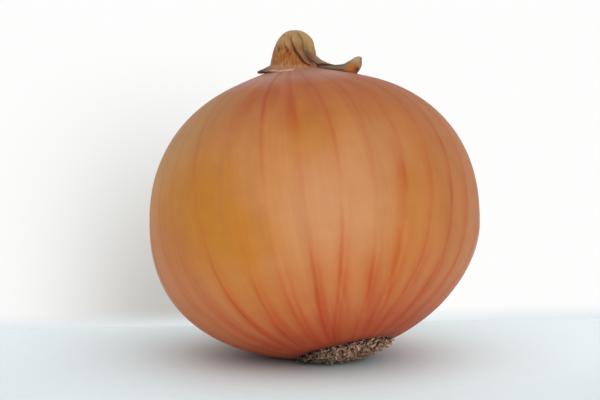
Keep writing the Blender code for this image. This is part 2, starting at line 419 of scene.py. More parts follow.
def ringed_piece(name, rings, **numbers):
    """A closed mesh through rings of points, with a fan at each end, and numbers kept on its points."""
    points = [point for ring in rings for point in ring]
    width = len(rings[0])
    faces = []
    for row in range(len(rings) - 1):
        for k in range(width):
            low, high = row * width, (row + 1) * width
            following = (k + 1) % width
            faces.append((low + k, low + following, high + following, high + k))
    for row in (0, len(rings) - 1):
        ends = [row * width + k for k in range(width)]
        middle = len(points)
        points.append(sum(rings[row], Vector()) / width)
        faces += [(ends[k], ends[(k + 1) % width], middle) for k in range(width)]
    mesh = bpy.data.meshes.new(name)
    mesh.from_pydata(points, [], faces)
    for key, rows in numbers.items():
        flat = [value for row in rows for value in row]
        flat += [rows[0][0], rows[-1][0]]
        mesh.attributes.new(key, "FLOAT", "POINT").data.foreach_set("value", flat)
    point_outwards(mesh)
    mesh.shade_smooth()
    piece = bpy.data.objects.new(name, mesh)
    bpy.context.scene.collection.objects.link(piece)
    return piece


def numbered_piece(name, rows, names):
    """A ringed piece from rows of entries: a point, then a number for each name."""
    sorts = range(len(names) + 1)
    rings, *numbers = ([[entry[i] for entry in row] for row in rows] for i in sorts)
    return ringed_piece(name, rings, **dict(zip(names, numbers)))


def point_outwards(mesh):
    bm = bmesh.new()
    bm.from_mesh(mesh)
    bmesh.ops.recalc_face_normals(bm, faces=bm.faces[:])
    bm.to_mesh(mesh)
    bm.free()


def onto_body(piece, node):
    """The piece rides on the onion's body and stands in for its solid, which is hidden."""
    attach(piece, BODY)
    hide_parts(node)


def smooth_rows(rows, steps):
    """Catmull-Rom rows through the given ones."""
    ends = [rows[0], *rows, rows[-1]]
    found = []
    for i in range(len(rows) - 1):
        a, b, c, d = (Vector(row) for row in ends[i : i + 4])
        for k in range(steps):
            t = k / steps
            row = b + (c - a) * (t / 2) + (2 * a - 5 * b + 4 * c - d) * (t * t / 2)
            found.append(row + (3 * b - a - 3 * c + d) * (t**3 / 2))
    found.append(Vector(rows[-1]))
    return found


def along_line(line, at):
    """Second number of a line of (first, second) pairs, where the first is at the given value."""
    for (low, start), (high, end) in zip(line, line[1:]):
        if at <= high:
            share = max(0.0, (at - low) / (high - low))
            return start + (end - start) * share
    return line[-1][1]


def bell(value, width):
    return math.exp(-((value / width) ** 2))


def fade(value, low, high):
    """0 below low, 1 over high and smooth between them."""
    share = min(1.0, max(0.0, (value - low) / (high - low)))
    return share * share * (3 - 2 * share)


def unit_point(polar, turn, lift=0.0):
    """A point round the unit sphere, lifted off it; the root pole is at the bottom."""
    flat = math.sin(polar)
    return Vector((flat * math.cos(turn), flat * math.sin(turn), -math.cos(polar))) * (1 + lift)


# Bulb

MAIN_ROWS = 150
LAST_RING = math.radians(179.6)
BASIN_ANGLE = math.radians(20.2)
BASIN_DEPTH = 0.0022
BASIN_SHARES = (0.02, 0.3, 0.6, 0.8, 0.9, 0.955, 0.985)
BASIN_STEEPNESS = 8
NECK_END = math.radians(140)
MIDDLE = math.radians(90)
ROOT_END = math.radians(45)
# Past these polar angles a vein keeps its place round the axis
VEIN_REACH = (math.radians(25), math.radians(160))
# Where the skin's dark rim round the roots, partly painted shade, begins and where it is full, as shares of
# the hollow's angle
LIP_SHADE_REACH = (1.35, 0.97)
COLUMN_SHARES = (0.0, 0.05, 0.12, 0.26, 0.5, 0.74, 0.88, 0.95)
# At the neck end, middle and root end: degrees round the axis, the line's strength and the glow's
DRAWN_VEINS = (
    ((-148, -143, -143), (0.4, 0.10, 0.4), (0.2, 0.1, 0.5)),
    ((-139, -129, -131), (0.4, 0.25, 1.0), (0.2, 0.2, 0.9)),
    ((-122, -114.5, -120), (0.1, 0.05, 0.8), (0.1, 0.1, 0.8)),
    ((-105.5, -104, -108), (1.5, 0.15, 0.4), (0.1, 0.1, 0.7)),
    ((-92, -91.5, -96), (0.25, 0.05, 1.1), (0.8, 0.1, 1.1)),
    ((-78.5, -80, -89), (0.30, 0.28, 1.2), (0.5, 0.15, 1.1)),
    ((-63.5, -69, -74.5), (0.45, 0.10, 0.9), (0.3, 0.1, 1.0)),
    ((-51, -58.5, -67), (0.05, 0.25, 0.5), (0.1, 0.9, 1.0)),
    ((-38, -47, -56), (0.1, 0.20, 0.6), (0.2, 0.4, 0.8)),
    ((-29, -36.5, -43.5), (0.1, 0.35, 0.7), (0.3, 0.7, 0.7)),
    ((-18, -26, -30), (0.1, 0.30, 0.5), (0.3, 0.6, 0.6)),
    ((-8, -13, -18), (0.1, 0.20, 0.5), (0.3, 0.4, 0.6)),
)
# Zones of the skin in their order: colour, then polar angle, turn and width in degrees, and strength
ZONES = (
    ("amber", 98, -136, 30, 0.92),
    ("amber", 84, -113, 15, 0.7),
    ("sienna", 105, -12, 66, 0.72),
    ("rosy", 88, -81, 27, 0.9),
    ("rosy", 108, -66, 18, 0.6),
)
OCHRE_ZONE = ("ochre", 131, -158, 31, 0.7)
RUDDY_ZONE = ("ruddy", 72, -160, 36, 0.4)
# A slight vein beside each main one: its share of the way to the next, and its strengths as above
BESIDE = (0.14, 0.30)
BESIDE_LINE = ((0.0, 0.12), (0.0, 0.06), (0.1, 0.5))
BESIDE_GLOW = ((0.0, 0.1), (0.0, 0.1), (0.5, 1.0))
FAR_LINE = (0.05, 0.6)
FAR_GLOW = (0.1, 0.9)
VEIN_STRAY = 1.6


def at_polar(values, polar):
    """Value of a smooth curve through a vein's three values, at a polar angle."""
    at = min(max(polar, VEIN_REACH[0]), VEIN_REACH[1])
    neck = (at - MIDDLE) * (at - ROOT_END) / ((NECK_END - MIDDLE) * (NECK_END - ROOT_END))
    middle = (at - NECK_END) * (at - ROOT_END) / ((MIDDLE - NECK_END) * (MIDDLE - ROOT_END))
    root = (at - NECK_END) * (at - MIDDLE) / ((ROOT_END - NECK_END) * (ROOT_END - MIDDLE))
    return values[0] * neck + values[1] * middle + values[2] * root


def strength_at(values, polar):
    """A vein's strength between its three values, held past the outer ones."""
    neck, middle, root = values
    if polar > MIDDLE:
        return middle + (neck - middle) * fade(polar, MIDDLE, NECK_END)
    return middle + (root - middle) * (1 - fade(polar, ROOT_END, MIDDLE))


def far_veins(skin, rng):
    """Veins from the last drawn one round the back to the first one."""
    first, last = DRAWN_VEINS[0][0], DRAWN_VEINS[-1][0]
    found = []
    for k in range(1, skin.far_veins + 1):
        share = k / (skin.far_veins + 1)
        stray = rng.uniform(-VEIN_STRAY, VEIN_STRAY)
        places = [end + (start + 360 - end) * share + stray for start, end in zip(first, last)]
        line = [rng.uniform(*FAR_LINE) for _ in range(3)]
        glow = [rng.uniform(*FAR_GLOW) * (0.6 + 0.4 * (i == 2)) for i in range(3)]
        found.append((places, line, glow))
    return found


def all_veins(skin):
    """Drawn and far veins in order round the axis, each with a slight one beside it."""
    rng = random.Random(skin.seed)
    main = [*DRAWN_VEINS, *far_veins(skin, rng)]
    places, *strengths = main[0]
    main.append(([place + 360 for place in places], *strengths))
    found = []
    for vein, following in zip(main, main[1:]):
        found.append(vein)
        share = rng.uniform(*BESIDE)
        places = [a + (b - a) * share for a, b in zip(vein[0], following[0])]
        line = [rng.uniform(*limits) for limits in BESIDE_LINE]
        glow = [rng.uniform(*limits) for limits in BESIDE_GLOW]
        found.append((places, line, glow))
    found.append(main[-1])
    return found


def skin_row(veins, polar, lift, relief_share, radius):
    """One ring of the skin: each point, its distance to a vein, and that vein's line, glow and swell."""
    turns = [math.radians(at_polar(vein[0], polar)) for vein in veins]
    lines = [strength_at(vein[1], polar) for vein in veins]
    glows = [strength_at(vein[2], polar) for vein in veins]
    row = []
    for k in range(len(veins) - 1):
        room = turns[k + 1] - turns[k]
        for share in COLUMN_SHARES:
            nearest = k if share < 0.5 else k + 1
            line, glow = lines[nearest], glows[nearest]
            if share == 0.5:
                line, glow = (lines[k] + line) / 2, (glows[k] + glow) / 2
            point = unit_point(polar, turns[k] + room * share, lift)
            gap = min(share, 1 - share) * room * math.sin(polar) * radius
            row.append((point, gap, line, glow, relief_share * (0.3 + 0.7 * line)))
    return row


def skin_rows():
    """Polar angle, lift and share of the vein relief of each ring, from inside the root's hollow up."""
    rows = []
    for share in BASIN_SHARES:
        rows.append((BASIN_ANGLE * share, -BASIN_DEPTH * (1 - share**BASIN_STEEPNESS), 0.0))
    for i in range(MAIN_ROWS + 1):
        share = i / MAIN_ROWS
        polar = BASIN_ANGLE + (LAST_RING - BASIN_ANGLE) * share
        rows.append((polar, 0.0, math.sin(math.pi * share) ** 0.5))
    return rows


def make_wrap_tree(shape):
    """Nodes that push a unit sphere out to the skin; what stands off the sphere stands off the skin."""
    tree, size = start_tree("Wrap round the bulb", shape)
    position = add(tree, "GeometryNodeInputPosition")
    unit = position.vector("NORMALIZE")
    lift = position.vector("LENGTH", out=1) - 1.0
    towards = turned(tree, unit, size)
    x, y, z = towards.parts()
    flat = (x * x + y * y).math("SQRT").math("MAXIMUM", 1e-6)
    above = z.math("GREATER_THAN", 0.0)
    height = size.root_side_height + (size.neck_side_height - size.root_side_height) * above
    neck_power = size.neck_side_roundness - size.neck_side_left * x / flat
    root_power = size.root_side_roundness - (size.root_side_left * x + size.root_side_front * y) / flat
    power = root_power + (neck_power - root_power) * above
    globe = (flat / size.radius) ** power + (z.math("ABSOLUTE") / height) ** power
    neck_pole = turned(tree, joined(tree, 0.0, 0.0, 1.0), size)
    off_neck = towards.vector("DISTANCE", neck_pole, out=1)
    shoulder = size.neck_rise * off_neck.bell(size.neck_rise_width)
    ridge = size.vein_height * named(tree, "vein_swell") * named(tree, "vein_gap").bell(size.vein_width)
    reach = globe ** (-(power ** -1.0)) + shoulder + ridge + waves(unit, size) + lift
    out_x, out_y, out_z = towards.vector("SCALE", None, None, reach).parts()
    placed = joined(tree, out_x, out_y, (out_z + size.centre_height).math("MAXIMUM", 0.0))
    kept = keep(tree, size.geometry, "place", unit, kind="FLOAT_VECTOR")
    moved = add(tree, "GeometryNodeSetPosition", kept, None, placed)
    return end_tree(tree, moved, size.material)


def turned(tree, unit, size):
    """The unit vector leaned left and tipped back, by amounts that change from the root to the neck."""
    share = unit.parts()[2] * -0.5 + 0.5
    lean = size.neck_lean + (size.root_lean - size.neck_lean) * share
    tip = size.neck_tip + (size.root_tip - size.neck_tip) * share
    turn = joined(tree, -tip, -lean, 0.0)
    node = add(tree, "ShaderNodeVectorRotate", unit, rotation_type="EULER_XYZ").socket.node
    tree.links.new(turn.socket, node.inputs["Rotation"])
    return Term(tree, node.outputs[0])


def waves(unit, size):
    """Slow waves of the skin that run from root to neck, gone at both poles."""
    x, y, z = unit.parts()
    swell = grain(joined(unit.tree, x * 2.6, y * 2.6, z * 0.5), 1.0, 1.0)
    middle = (z * z) * -1.0 + 1.0
    return (swell - 0.5) * size.waviness * middle


def streaks(round_axis, up, across, along, detail=2.0):
    """Noise stretched from root to neck: so many spots across and along."""
    x, y, _ = round_axis.parts()
    return grain(joined(up.tree, x * across, y * across, up * along), 1.0, detail)


def zone(skin, place, name, polar, turn, wide, strength):
    """A layer of the skin's named colour round one spot, out to a width; angles in degrees."""
    spot = unit_point(math.radians(polar), math.radians(turn))
    near = place.vector("DOT_PRODUCT", tuple(spot), out=1)
    return near.step(math.cos(math.radians(wide)), 1.0) * strength, getattr(skin, name)


def make_skin_finish(skin):
    """Papery skin: amber and pink zones, red towards the root, fine fibres and veins."""
    made, tree, shader = finish_shader("onion_skin")
    place = attribute_vector(tree, "place")
    x, y, up = place.parts()
    round_axis = joined(tree, x, y, 0.0).vector("NORMALIZE")
    tone = streaks(round_axis, up, 2.4, 0.7).step(0.40, 0.66)
    bands = streaks(round_axis, up, 7.0, 0.6, 0.0).step(0.50, 0.70)
    crown = up.step(0.35, 0.86) * (streaks(round_axis, up, 5.0, 1.6) * 1.6 + 0.1)
    ruddy = (-up).step(0.15, 0.95) * (streaks(round_axis, up, 7.0, 1.0) * 0.8 + 0.5)
    fibres = streaks(round_axis, up, 55.0, 2.2, 3.0)
    gap = attribute(tree, "vein_gap")
    stray = streaks(round_axis, up, 12.0, 2.2).step(0.30, 0.68) * 0.9 + 0.45
    # Painted shade, together with the skin's own dark rim, in a ring round the root bed
    lip_and_shade = (-up).step(*(math.cos(BASIN_ANGLE * share) for share in LIP_SHADE_REACH))
    base = painted(
        mixed(tree, tone * 0.5, skin.pale, skin.amber),
        *(zone(skin, place, *row) for row in ZONES),
        (bands * 0.20, skin.dusky),
        (crown, skin.crown),
        zone(skin, place, *OCHRE_ZONE),
        (up.step(0.83, 0.96) * 0.9, skin.blush),
        (ruddy * 0.95, skin.ruddy),
        zone(skin, place, *RUDDY_ZONE),
        ((-up).step(0.62, 0.93) * 0.8, skin.deep),
        (0.08, grey(fibres), "OVERLAY"),
        (0.12, grey(grain(place, 9.0, 4.0)), "OVERLAY"),
        (attribute(tree, "vein_glow") * gap.bell(skin.glow_width) * stray, skin.glow, "MULTIPLY"),
        (attribute(tree, "vein_line") * gap.bell(skin.line_width) * stray, skin.line, "MULTIPLY"),
        (lip_and_shade * 0.6, skin.lip_and_shade),
    )
    shader.inputs["Sheen Weight"].default_value = 0.03
    shader.inputs["Sheen Roughness"].default_value = 0.45
    shader.inputs["Sheen Tint"].default_value = (1.0, 0.86, 0.80, 1.0)
    relief(tree, shader, fibres * 0.6 + grain(place, 30.0, 4.0) * 0.4, 0.0002, 0.35)
    end_shader(tree, shader, base, grain(place, 14.0, 3.0) * 0.16 + 0.44, 0.20)
    return made


class ONION_OT_bulb(Operator):
    """Make the bulb with its veins from a unit sphere"""

    bl_idname = "onion.bulb"
    bl_label = "Bulb"

    def execute(self, context):
        scene = context.scene
        shape, skin = scene.onion_shape, scene.onion_skin
        veins = all_veins(skin)
        rows = [skin_row(veins, *row, shape.radius) for row in skin_rows()]
        piece = numbered_piece("bulb_skin", rows, ("vein_gap", "vein_line", "vein_glow", "vein_swell"))
        run_tree(piece, make_wrap_tree(shape), shape, make_skin_finish(skin))
        onto_body(piece, "bulb")
        return {"FINISHED"}


# Neck

# Kept on the leaf's points: painted shade, place round the fold, place across the fibres, and height
LEAF_NUMBERS = ("leaf_shade", "leaf_flow", "leaf_fibre", "leaf_up")
PLUG_ANGLE = math.radians(7.4)
COLLAR_COLUMNS = 240
COLLAR_THICKNESS = 0.00035
COLLAR_ROWS = 9
# Degrees from the neck pole to the collar's torn edge, by degrees round the axis
COLLAR_EDGE = (
    (-180, 12.9), (-165, 12.6), (-150, 12.0), (-135, 11.8), (-115, 12.1), (-90, 12.3), (-85, 8.2),
    (-60, 7.2), (-20, 7.2), (15, 7.8), (50, 9.6), (80, 10.8), (115, 10.0), (150, 12.0), (180, 12.9),
)
COLLAR_CURL = 0.0010
COLLAR_PILE = 0.0002
COLLAR_FLAP = 0.0011
COLLAR_GRAIN = 0.00012
COLLAR_SUNK = 0.00008
STEM_STEPS = 15
STEM_BANDS = (52, 34, 34)
STEM_BACK = 100
STEM_FIBRE_SPAN = 9.0
# Millimetres: height over the neck pole, centre across, half width, half depth
STEM_ROWS = (
    (-1.2, 0.3, 7.3, 7.7),
    (-0.3, 0.3, 6.95, 6.9),
    (0.8, 0.3, 6.6, 5.9),
    (2.0, 0.3, 6.35, 5.1),
    (3.8, 0.45, 6.15, 4.6),
    (5.6, 0.55, 5.6, 4.4),
    (7.2, 0.65, 5.0, 4.2),
    (8.5, 0.65, 4.1, 3.8),
    (9.5, 0.6, 3.0, 3.0),
    (10.1, 0.6, 1.8, 1.8),
    (10.3, 0.6, 0.5, 0.6),
)
# Where the folded leaf laps over the stem, and where its own fold ends, as millimetres up and across
LAP = ((-1.2, 6.2), (0.2, 5.4), (0.7, 3.9), (1.6, 2.9), (2.9, 2.0), (4.6, 0.8), (6.6, 0.0), (8.4, -0.6))
VALLEY = ((-1.2, 6.6), (1.0, 5.6), (3.1, 4.3), (4.1, 3.8), (5.8, 3.4), (7.5, 2.8), (10.2, 0.9))
# Millimetres: across, up, half width, half height, depth
PITS = (
    (-1.5, 4.4, 0.30, 0.55, 0.55),
    (-3.9, 4.9, 0.22, 0.80, 0.30),
    (-3.2, 4.9, 0.20, 0.75, 0.28),
    (-2.1, 5.3, 0.25, 0.45, 0.35),
    (-0.9, 3.5, 0.22, 0.45, 0.30),
    (-2.5, 2.6, 0.18, 0.60, 0.16),
    (-2.1, 8.7, 0.32, 0.32, 0.10),
)
BACK_CREASES = ((3.6, 0.55), (4.3, 0.8), (4.9, 0.6), (5.5, 0.7))
# Marks as seen from the front, in metres: x, z, half width and half height
BRUISE = (-0.0019, 0.0866, 0.0013, 0.0023)
BRUISE_SLANT = 0.5
EMBER_SPOT = (0.0110, 0.0830, 0.0021, 0.0015)
SCORCH_SPOT = (0.0112, 0.0816, 0.0016, 0.0008)
BURNT_SPOT = (0.0121, 0.0826, 0.0009, 0.0008)
# The tail's middle height, and where its pinkish start and the painted shadow under the collar's tip are,
# in metres
TAIL_MIDDLE = 0.0836
TAIL_START = 0.0035
COLLAR_TIP_SHADE = -0.0152
TAIL_SIDES = 72
TAIL_STEPS = 9
TAIL_FRONT = 0.8
TAIL_SUNK = 0.00012
# Where the tail's fold runs down to its top edge: millimetres across, and the turn from its front
TAIL_FOLD = ((5.0, 0.70), (7.0, 0.65), (9.3, -0.30), (12.0, -1.1), (16.0, -0.8))
# Millimetres: across and up from the neck pole, half height, half depth
TAIL_ROWS = (
    (2.4, 4.6, 1.9, 2.2),
    (3.4, 4.2, 2.4, 2.8),
    (5.2, 2.6, 2.3, 3.0),
    (7.0, 1.2, 1.6, 2.6),
    (9.3, 0.1, 1.2, 2.2),
    (11.8, -0.6, 1.1, 2.3),
    (13.6, -0.75, 1.3, 2.7),
    (14.7, -0.7, 1.5, 3.0),
    (15.85, -0.5, 1.9, 3.1),
    (17.0, -0.2, 2.3, 2.9),
    (18.1, 0.2, 2.5, 2.4),
    (19.1, 0.9, 1.9, 1.5),
    (19.7, 1.3, 1.1, 0.6),
)


def bulb_surface():
    """The bulb's faces for finding the skin under a point, and the bulb's centre."""
    bulb = bpy.data.objects["bulb_skin"]
    centre = Vector((0, 0, bpy.context.scene.onion_shape.centre_height))
    points = [vertex.co for vertex in bulb.data.vertices]
    return BVHTree.FromPolygons(points, [face.vertices for face in bulb.data.polygons]), centre


def neck_foot(surface, centre):
    """The neck pole's point on the skin."""
    shape = bpy.context.scene.onion_shape
    pole = Vector((0, 0, 1))
    pole.rotate(Euler((-shape.neck_tip, -shape.neck_lean, 0)))
    return surface.ray_cast(centre + pole, -pole)[0]


def ragged(value, seed, size=1.0):
    """Smooth noise from about -1 to 1 along a line."""
    return noise.noise(Vector((value, seed * 7.31, seed * 1.17))) * size


def stem_profile(up, theta, lap, valley, across, radius):
    """How many millimetres the stem's front stands out at an angle round it, and the painted shade in its
    lap, valley and pits.
    """
    lap_share = fade(up, -0.4, 0.8) * (1 - fade(up, 7.2, 8.9))
    valley_share = fade(up, 0.6, 1.6) * (1 - fade(up, 8.8, 10.2))
    off_lap = (lap - theta) * radius
    off_valley = (valley - theta) * radius
    if off_lap < 0:
        out = -0.75 * lap_share * bell(off_lap, 0.45)
        shade = lap_share * bell(off_lap, 0.38) * fade(-up, -7.5, -4.0)
    else:
        out = 0.55 * lap_share * math.exp(-off_lap / 2.0)
        shade = 0.9 * lap_share * bell(off_lap, 0.12)
    out -= (0.45 + 0.50 * fade(-up, -8.0, -4.0)) * valley_share * bell(off_valley, 0.62)
    out += 0.35 * valley_share * bell(off_valley - 1.5, 1.0)
    shade += (0.45 + 0.25 * fade(-up, -6.5, -3.5)) * valley_share * bell(off_valley, 0.40)
    for pit_across, pit_up, wide, tall, deep in PITS:
        hole = bell(across - pit_across, wide) * bell(up - pit_up, tall)
        out -= deep * hole
        shade += hole * min(1.0, deep * 2.4)
    return out, min(shade, 1.0)


def stem_columns(lap, valley):
    """(angle round the stem, flow number) of each column: three bands over the front, then the back."""
    found = []
    edges = (math.pi, lap, valley, 0.0)
    for band, columns in enumerate(STEM_BANDS):
        for k in range(columns):
            share = k / columns
            found.append((edges[band] + (edges[band + 1] - edges[band]) * share, band + share))
    for k in range(STEM_BACK):
        share = k / STEM_BACK
        found.append((-math.pi * share, 3 + 3 * share))
    return found


def angle_at(across, centre, half_width, low, high):
    """Angle round the stem at a place across its front, kept between two angles."""
    share = min(0.999, max(-0.999, (across - centre) / half_width))
    return min(high, max(low, math.acos(share)))


def stem_row(row, foot, neck):
    """One ring of the stem: each point, its painted shade, flow, fibre and height."""
    up, centre, half_width, half_depth = row
    valley = angle_at(along_line(VALLEY, up), centre, half_width, 0.25, 2.4)
    lap = angle_at(along_line(LAP, up), centre, half_width, valley + 0.22, 2.8)
    radius = (half_width + half_depth) / 2
    creased = fade(up, 0.5, 2) * (1 - fade(up, 7, 10))
    hump = 1 - fade(up, 8.6, 10.3)
    fibre_height, lump_height = neck.fibre_height / MM, neck.lump_height / MM
    found = []
    for theta, flow in stem_columns(lap, valley):
        across = centre + half_width * math.cos(theta)
        fibre = across / STEM_FIBRE_SPAN if flow < 1 else flow
        out, shade = 0.0, 0.0
        if flow < 3:
            out, shade = stem_profile(up, theta, lap, valley, across, radius)
        for at, deep in BACK_CREASES:
            wander = 0.05 * math.sin(up * 0.7 + at)
            cut = bell(flow - at - wander, 0.07) * creased
            out -= deep * cut
            shade += 0.8 * cut
        out += ragged(fibre * 13, 1 + up * 0.012) * fibre_height * 1.6 * hump
        out += ragged(fibre * 30, 2 + up * 0.016) * fibre_height * hump
        out += ragged(flow * 1.9, 3 + up * 0.03) * lump_height * hump
        spread = Vector((math.cos(theta), -math.sin(theta), 0))
        place = Vector((across, -half_depth * math.sin(theta), up)) + spread * out
        found.append((foot + place * MM, min(shade, 1.0), flow if flow < 3 else 6 - flow, fibre, up))
    return found


def tail_row(row, share, foot, surface, centre):
    """One ring of the tail, a flat tube with a fold along its front, open like a spoon at its tip."""
    across, up, half_height, half_depth = row
    tip = fade(across, 14.0, 18.0) * (1 - fade(across, 19.0, 19.7))
    fold = fade(across, 4.5, 6.5) * (1 - fade(across, 10.5, 16.5))
    found = []
    for k in range(TAIL_SIDES):
        turn = math.tau * k / TAIL_SIDES
        face = math.remainder(turn - math.pi, math.tau)
        cut = fold * bell(face - along_line(TAIL_FOLD, across), 0.24)
        cup = tip * bell(face - 0.1, 0.75)
        size = 1 - 0.40 * cut - 0.55 * cup + 0.12 * fold * bell(face + 0.75, 0.3)
        size += ragged(turn * 3.1, 5 + share * 1.2, 0.09) + ragged(turn * 9, 6 + share, 0.05)
        depth = half_depth * math.cos(turn) * size - TAIL_FRONT
        height = half_height * math.sin(turn) * (1 + ragged(turn * 2, 8 + share * 3, 0.08))
        point = outside(foot + Vector((across, depth, up + height)) * MM, surface, centre)
        # Painted shade in the fold's crease and, a little, in the hollow of the tip
        shade = min(1.0, cut * 1.1 + cup * 0.15)
        found.append((point, shade, abs(face) / math.pi * 3, abs(face), share))
    return found


def outside(point, surface, centre):
    """The point, lifted out of the bulb to just under its skin if it lies deeper."""
    towards = (point - centre).normalized()
    skin = surface.ray_cast(centre + towards, -towards)[0]
    nearest = (skin - centre).length - TAIL_SUNK
    return centre + towards * max((point - centre).length, nearest)


def collar_reach(turn):
    """Angle from the neck pole to the collar's torn edge."""
    edge = along_line(COLLAR_EDGE, math.degrees(turn)) + ragged(math.sin(turn) * 9 + 3, 4, 0.5)
    return math.radians(edge + ragged(math.cos(turn) * 17, 5 + math.sin(turn), 0.35))


def collar_lift(turn, polar, share, side):
    """How far the collar stands off the skin: its curl at the left, and over it its thickness and pile."""
    left = fade(-math.cos(turn), 0.35, 1.0)
    wavy = 0.5 + 0.5 * ragged(math.sin(turn) * 6, 9 + math.cos(turn) * 5)
    curl = COLLAR_CURL * share**3 * left * (0.4 + 1.2 * wavy)
    pile = COLLAR_THICKNESS + (COLLAR_PILE + COLLAR_FLAP * left) * (1 - share**2)
    return curl + side * (pile + COLLAR_GRAIN * ragged(polar * 500, 3 + math.sin(turn) * 2)) - COLLAR_SUNK


def collar_rows():
    """Rings on the unit sphere round the neck pole, under the collar to its edge and back over it."""
    turns = [math.tau * k / COLLAR_COLUMNS - math.pi for k in range(COLLAR_COLUMNS)]
    edges = [collar_reach(turn) for turn in turns]
    shares = [row / COLLAR_ROWS for row in range(COLLAR_ROWS + 1)]
    rows = []
    for side, share in [(0, share) for share in shares] + [(1, share) for share in reversed(shares)]:
        row = []
        for k, turn in enumerate(turns):
            polar = PLUG_ANGLE + (edges[k] - PLUG_ANGLE) * share
            point = unit_point(math.pi - polar, turn, collar_lift(turn, polar, share, side))
            flow = 6 * k / COLLAR_COLUMNS
            row.append((point, 0.0, flow, flow, share))
        rows.append(row)
    return rows


def neck_streaks(flow, up, across, along):
    """Noise that follows the fibres: so many spots across the flow and along it."""
    return grain(joined(up.tree, flow * across, up * along, 0.0), 1.0, 3.0)


def make_leaf_finish(name, neck, paint):
    """Dry leaf: fibres along its flow, and painted shade in its creases, valley and pits; paint gives its
    broad colours.
    """
    made, tree, shader = finish_shader(name)
    shade, flow, fibre, up = (attribute(tree, key) for key in LEAF_NUMBERS)
    place = object_place(tree)
    fibres = neck_streaks(fibre, up, 20.0, 0.35).step(0.25, 0.75)
    coarse = neck_streaks(fibre, up, 7.0, 0.40)
    lines = neck_streaks(fibre, up, 9.0, 0.30).step(0.54, 0.72)
    base = painted(
        paint(neck, flow, up, place),
        (coarse.step(0.50, 0.70) * 0.42, neck.straw_and_highlight),
        (0.28, grey(fibres), "OVERLAY"),
        (lines * 0.38, neck.bark),
        (grain(place, 420.0, 3.0).step(0.58, 0.75) * 0.45, neck.rust),
        # Painted shade from the leaf_shade numbers: creases, the lap, the valley and the pits
        (shade.math("POWER", 0.8) * 0.88, neck.dark),
    )
    relief(tree, shader, fibres * 0.7 + grain(place, 1400.0, 3.0) * 0.3, 0.0002, 0.5)
    end_shader(tree, shader, base, coarse * 0.3 + 0.5, 0.3)
    return made


def mark(place, spot, slant=0.0):
    """1 at a spot seen from the front, falling to 0 past its half width and half height."""
    x, _, z = place.parts()
    across, up, wide, tall = spot
    return (x - across + (z - up) * slant).bell(wide) * (z - up).bell(tall)


def bruise(place):
    """The plum patch that runs down the valley, over the stem's and the tail's front alike."""
    return mark(place, BRUISE, BRUISE_SLANT) * place.parts()[1].step(0.0, -0.0010)


def paint_stem(neck, flow, up, place):
    """Rust on the left, tan in the middle and olive on the right fold, with a plum patch in the valley and
    a painted highlight towards the top.
    """
    return painted(
        mixed(up.tree, flow.step(1.7, 2.4), neck.tan, neck.olive),
        (flow.step(2.35, 2.8) * up.step(6.0, 2.5) * 0.7, neck.ash),
        (flow.step(0.16, 0.0) * up.step(8.0, 3.0) * 0.7, neck.ash),
        ((flow - 0.60).bell(0.45) * (up - 2.6).bell(3.0), neck.rust),
        # Painted highlight: the stem lighter towards its top
        (up.step(4.0, 8.0) * 0.6, neck.straw_and_highlight),
        (up.step(0.9, -0.2) * 0.75, neck.foot),
        (bruise(place), neck.plum),
    )


def paint_tail(neck, _, up, place):
    """Olive turning grey along the tail, brown below, with an ember glow low in its tip."""
    x, _, z = place.parts()
    above = z - TAIL_MIDDLE
    return painted(
        mixed(up.tree, up.step(0.05, 0.20), neck.olive, neck.ash),
        (up.step(0.25, 0.45), neck.grey),
        (above.step(0.0, 0.0008) * (x - TAIL_START).bell(0.0022) * 0.55, neck.foot),
        (up.step(0.62, 0.85), neck.dry),
        (up.step(0.91, 0.98) * 0.75, neck.dark),
        (above.step(0.0, -0.0015) * x.step(0.0090, 0.0060) * 0.75, neck.bark),
        (mark(place, EMBER_SPOT), neck.ember),
        (mark(place, SCORCH_SPOT) * 0.9, neck.scorch),
        (mark(place, BURNT_SPOT), neck.dark),
        (bruise(place), neck.plum),
    )


def paint_collar(neck, _, up, place):
    """Pinkish brown skin going to a cream torn edge, with painted shadow under its tip at the left."""
    # Painted shadow under the collar's lifted tip
    tip = (place.parts()[0] - COLLAR_TIP_SHADE).bell(0.0026)
    return painted(mixed(up.tree, up.step(0.72, 0.97), neck.foot, neck.cream), (tip * 0.9, neck.tip))


def leaf_piece(name, rows):
    """A piece of the neck, with what its finish reads kept on its points."""
    return numbered_piece(name, rows, LEAF_NUMBERS)


class ONION_OT_stem(Operator):
    """Make the stem, folded over itself, with its lap, its valley and its pits"""

    bl_idname = "onion.stem"
    bl_label = "Folded stem"

    def execute(self, context):
        neck = context.scene.onion_neck
        foot = neck_foot(*bulb_surface())
        rows = [stem_row(row, foot, neck) for row in smooth_rows(STEM_ROWS, STEM_STEPS)]
        piece = leaf_piece("neck_stem", rows)
        piece.data.materials.append(make_leaf_finish("onion_stem", neck, paint_stem))
        onto_body(piece, "neck")
        return {"FINISHED"}


class ONION_OT_tail(Operator):
    """Make the leaf's dry end, which trails over the shoulder and turns up at its tip"""

    bl_idname = "onion.tail"
    bl_label = "Tail"

    def execute(self, context):
        neck = context.scene.onion_neck
        surface = bulb_surface()
        foot = neck_foot(*surface)
        rows = smooth_rows(TAIL_ROWS, TAIL_STEPS)
        last = len(rows) - 1
        piece = leaf_piece(
            "neck_tail", [tail_row(row, i / last, foot, *surface) for i, row in enumerate(rows)]
        )
        piece.data.materials.append(make_leaf_finish("onion_tail", neck, paint_tail))
        onto_body(piece, "neck")
        return {"FINISHED"}


